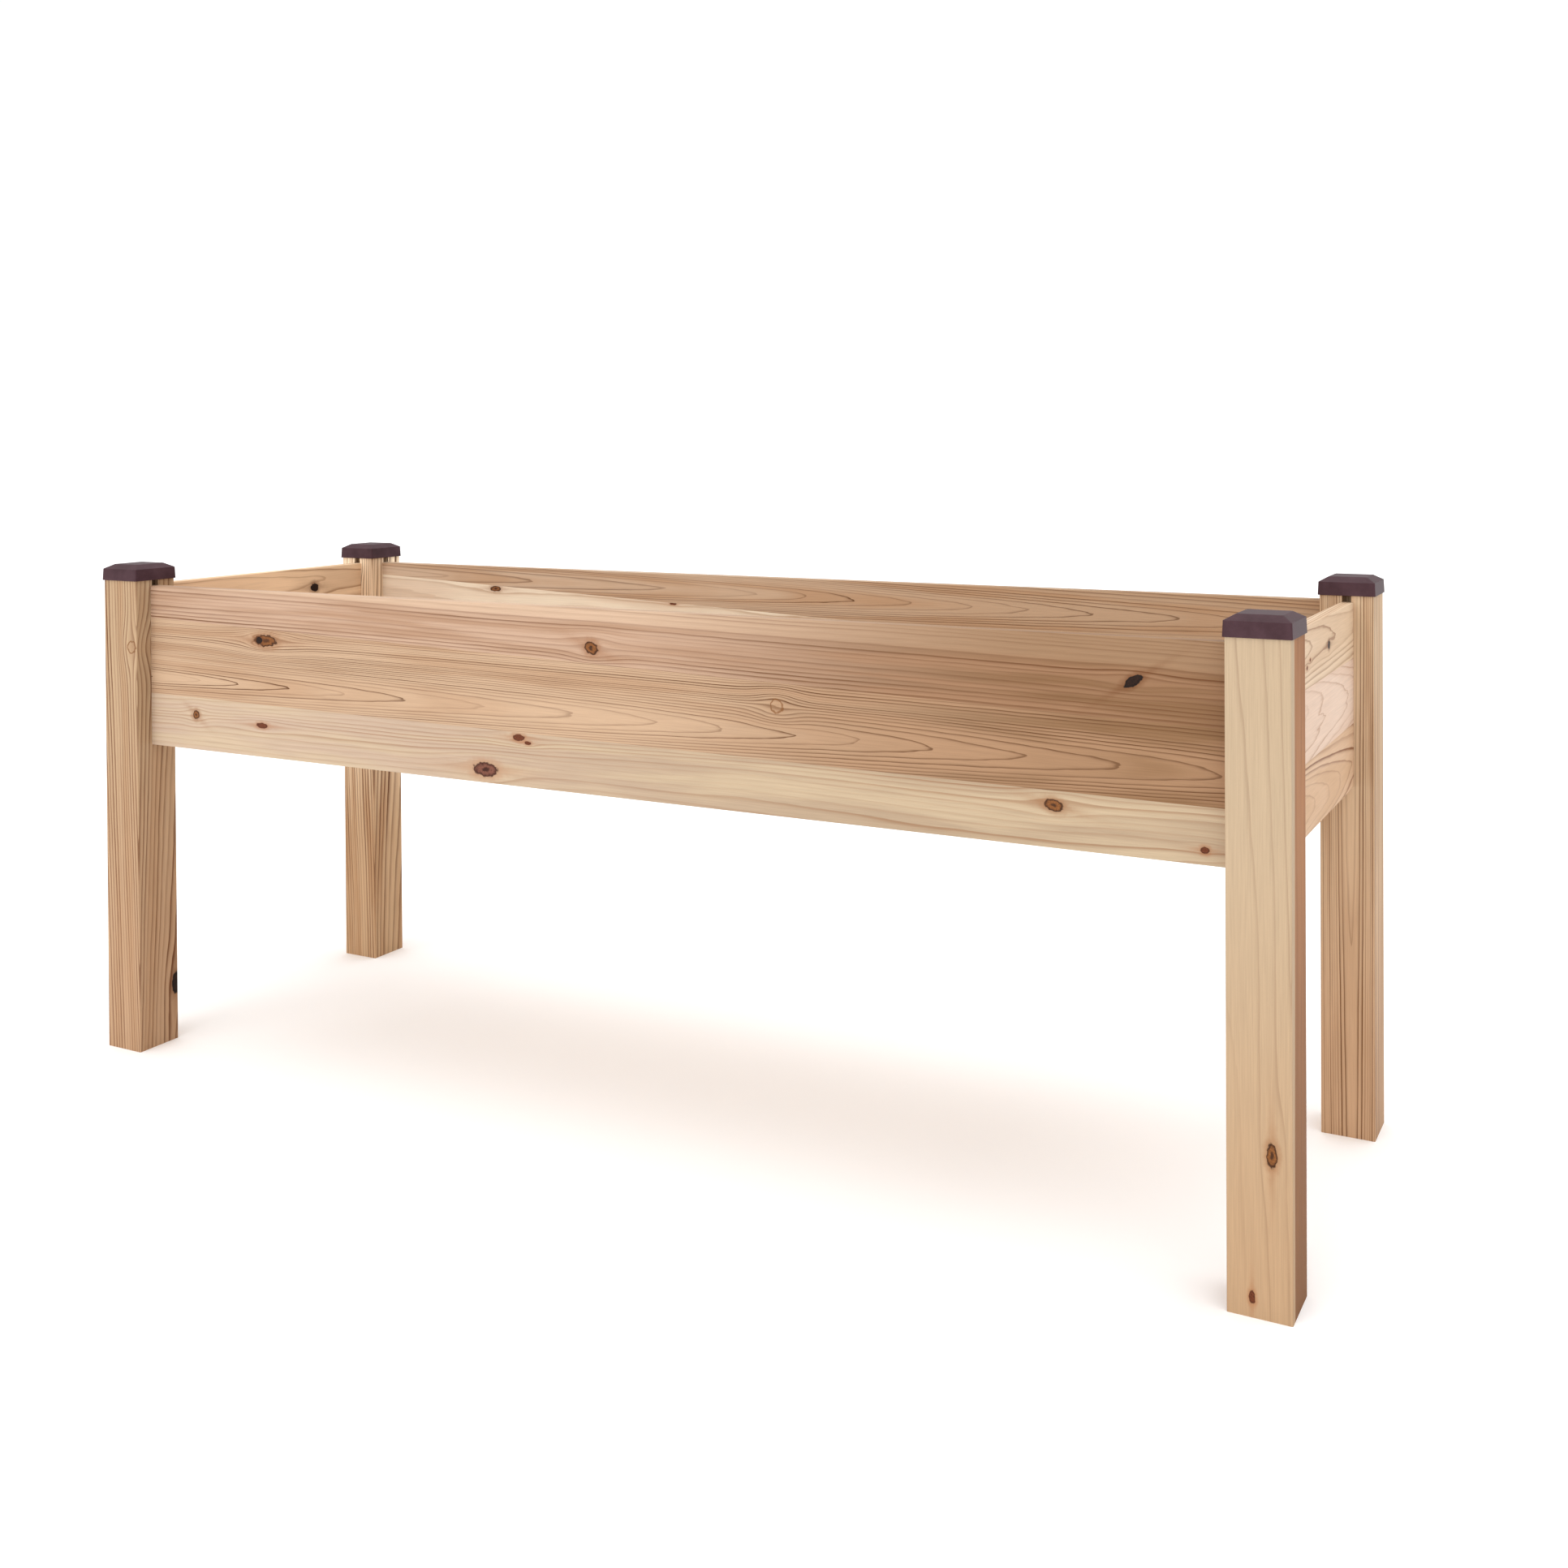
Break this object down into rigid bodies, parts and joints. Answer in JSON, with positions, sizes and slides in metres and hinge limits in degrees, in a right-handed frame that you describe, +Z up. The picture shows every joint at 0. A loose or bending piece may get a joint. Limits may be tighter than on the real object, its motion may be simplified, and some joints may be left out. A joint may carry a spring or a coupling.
{
  "type": "raised planter on legs",
  "caption": "Long raised garden bed of edge-joined cedar boards on grooved square legs with plastic caps and a slatted floor.",
  "frame": {"origin": "on the ground at the centre of the footprint", "axes": "+X along the length to the right, +Y to the back, +Z up"},
  "size_m": [1.8586, 0.5886, 0.762],
  "materials": {
    "leg_cedar": "planed and bare",
    "board_cedar": "planed and bare",
    "frame_cedar": "planed and bare",
    "slat_cedar": "sawn and bare",
    "cap_plastic": "satin moulded",
    "screw_steel": "zinc plated"
  },
  "bodies": {
    "frame": {"leg_front_left": "leg_cedar", "leg_front_right": "leg_cedar", "leg_back_left": "leg_cedar", "leg_back_right": "leg_cedar", "front_board_top": "board_cedar", "front_board_middle": "board_cedar", "front_board_bottom": "board_cedar", "back_board_top": "board_cedar", "back_board_middle": "board_cedar", "back_board_bottom": "board_cedar", "left_board_top": "board_cedar", "left_board_middle": "board_cedar", "left_board_bottom": "board_cedar", "right_board_top": "board_cedar", "right_board_middle": "board_cedar", "right_board_bottom": "board_cedar", "ledger_front": "frame_cedar", "ledger_back": "frame_cedar", "ledger_left": "frame_cedar", "ledger_right": "frame_cedar", "cross_tie_left": "frame_cedar", "cross_tie_middle": "frame_cedar", "cross_tie_right": "frame_cedar", "ledger_screws_front": "screw_steel", "ledger_screws_back": "screw_steel", "ledger_screws_left": "screw_steel", "ledger_screws_right": "screw_steel", "tie_screws": "screw_steel"},
    "front_left_cap": {"cap_front_left": "cap_plastic"},
    "front_right_cap": {"cap_front_right": "cap_plastic"},
    "back_left_cap": {"cap_back_left": "cap_plastic"},
    "back_right_cap": {"cap_back_right": "cap_plastic"},
    "slat_01": {"floor_slat_01": "slat_cedar"},
    "slat_02": {"floor_slat_02": "slat_cedar"},
    "slat_03": {"floor_slat_03": "slat_cedar"},
    "slat_04": {"floor_slat_04": "slat_cedar"},
    "slat_05": {"floor_slat_05": "slat_cedar"},
    "slat_06": {"floor_slat_06": "slat_cedar"},
    "slat_07": {"floor_slat_07": "slat_cedar"},
    "slat_08": {"floor_slat_08": "slat_cedar"},
    "slat_09": {"floor_slat_09": "slat_cedar"},
    "slat_10": {"floor_slat_10": "slat_cedar"},
    "slat_11": {"floor_slat_11": "slat_cedar"},
    "slat_12": {"floor_slat_12": "slat_cedar"},
    "slat_13": {"floor_slat_13": "slat_cedar"},
    "slat_14": {"floor_slat_14": "slat_cedar"},
    "slat_15": {"floor_slat_15": "slat_cedar"},
    "slat_16": {"floor_slat_16": "slat_cedar"},
    "slat_17": {"floor_slat_17": "slat_cedar"},
    "slat_18": {"floor_slat_18": "slat_cedar"},
    "slat_19": {"floor_slat_19": "slat_cedar"}
  },
  "joints": [
    {"name": "front_left_cap_lift", "type": "slide", "parent": "frame", "child": "front_left_cap", "axis": [0, 0, 1], "range_m": [0, 0.04]},
    {"name": "front_right_cap_lift", "type": "slide", "parent": "frame", "child": "front_right_cap", "axis": [0, 0, 1], "range_m": [0, 0.04]},
    {"name": "back_left_cap_lift", "type": "slide", "parent": "frame", "child": "back_left_cap", "axis": [0, 0, 1], "range_m": [0, 0.04]},
    {"name": "back_right_cap_lift", "type": "slide", "parent": "frame", "child": "back_right_cap", "axis": [0, 0, 1], "range_m": [0, 0.04]},
    {"name": "slat_01_lift", "type": "slide", "parent": "frame", "child": "slat_01", "axis": [0, 0, 1], "range_m": [0, 0.26]},
    {"name": "slat_02_lift", "type": "slide", "parent": "frame", "child": "slat_02", "axis": [0, 0, 1], "range_m": [0, 0.26]},
    {"name": "slat_03_lift", "type": "slide", "parent": "frame", "child": "slat_03", "axis": [0, 0, 1], "range_m": [0, 0.26]},
    {"name": "slat_04_lift", "type": "slide", "parent": "frame", "child": "slat_04", "axis": [0, 0, 1], "range_m": [0, 0.26]},
    {"name": "slat_05_lift", "type": "slide", "parent": "frame", "child": "slat_05", "axis": [0, 0, 1], "range_m": [0, 0.26]},
    {"name": "slat_06_lift", "type": "slide", "parent": "frame", "child": "slat_06", "axis": [0, 0, 1], "range_m": [0, 0.26]},
    {"name": "slat_07_lift", "type": "slide", "parent": "frame", "child": "slat_07", "axis": [0, 0, 1], "range_m": [0, 0.26]},
    {"name": "slat_08_lift", "type": "slide", "parent": "frame", "child": "slat_08", "axis": [0, 0, 1], "range_m": [0, 0.26]},
    {"name": "slat_09_lift", "type": "slide", "parent": "frame", "child": "slat_09", "axis": [0, 0, 1], "range_m": [0, 0.26]},
    {"name": "slat_10_lift", "type": "slide", "parent": "frame", "child": "slat_10", "axis": [0, 0, 1], "range_m": [0, 0.26]},
    {"name": "slat_11_lift", "type": "slide", "parent": "frame", "child": "slat_11", "axis": [0, 0, 1], "range_m": [0, 0.26]},
    {"name": "slat_12_lift", "type": "slide", "parent": "frame", "child": "slat_12", "axis": [0, 0, 1], "range_m": [0, 0.26]},
    {"name": "slat_13_lift", "type": "slide", "parent": "frame", "child": "slat_13", "axis": [0, 0, 1], "range_m": [0, 0.26]},
    {"name": "slat_14_lift", "type": "slide", "parent": "frame", "child": "slat_14", "axis": [0, 0, 1], "range_m": [0, 0.26]},
    {"name": "slat_15_lift", "type": "slide", "parent": "frame", "child": "slat_15", "axis": [0, 0, 1], "range_m": [0, 0.26]},
    {"name": "slat_16_lift", "type": "slide", "parent": "frame", "child": "slat_16", "axis": [0, 0, 1], "range_m": [0, 0.26]},
    {"name": "slat_17_lift", "type": "slide", "parent": "frame", "child": "slat_17", "axis": [0, 0, 1], "range_m": [0, 0.26]},
    {"name": "slat_18_lift", "type": "slide", "parent": "frame", "child": "slat_18", "axis": [0, 0, 1], "range_m": [0, 0.26]},
    {"name": "slat_19_lift", "type": "slide", "parent": "frame", "child": "slat_19", "axis": [0, 0, 1], "range_m": [0, 0.26]}
  ]
}
